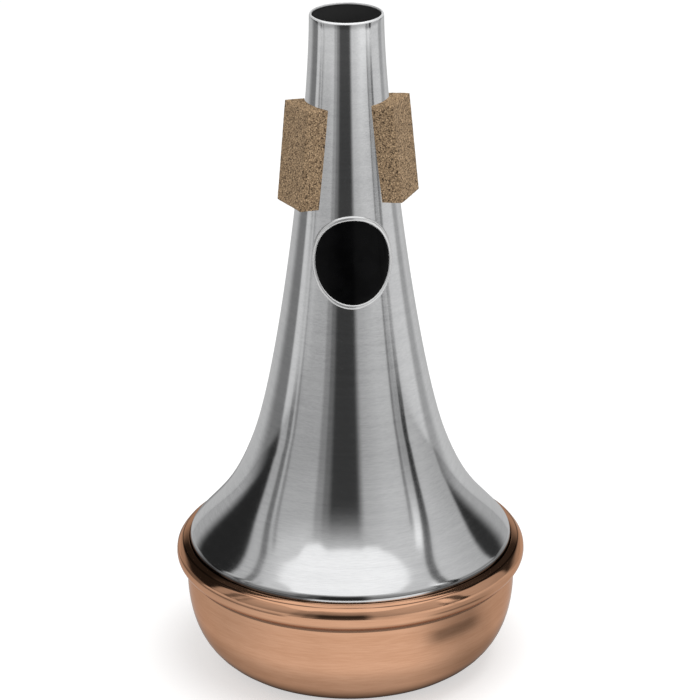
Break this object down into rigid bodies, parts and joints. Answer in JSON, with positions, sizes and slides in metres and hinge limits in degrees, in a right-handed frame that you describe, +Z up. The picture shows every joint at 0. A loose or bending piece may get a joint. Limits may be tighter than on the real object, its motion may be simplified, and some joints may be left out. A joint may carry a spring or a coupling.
{
  "type": "trombone straight mute",
  "caption": "Straight mute for a trombone: spun aluminium horn, rolled into a spun copper cup, with cork pads round the neck and an oval badge.",
  "frame": {"origin": "middle of the cup's flat underside, the lowest point of the part", "axes": "+Z up the axis of the turned pieces, through the neck; -Y towards the badge side; +X to the right seen from the badge side"},
  "size_m": [0.1346, 0.1346, 0.26],
  "materials": {
    "horn_body": "bright spun, fine turning lines round the axis",
    "copper_base": null,
    "cork_left": null,
    "cork_right": null,
    "cork_rear": null,
    "badge_plate": "bright stamped metal",
    "badge_field": "gloss black enamel, bare"
  },
  "bodies": {
    "root": {"horn_body": "horn_body", "copper_base": "copper_base", "cork_left": "cork_left", "cork_right": "cork_right", "cork_rear": "cork_rear", "badge_plate": "badge_plate", "badge_field": "badge_field"}
  },
  "joints": []
}
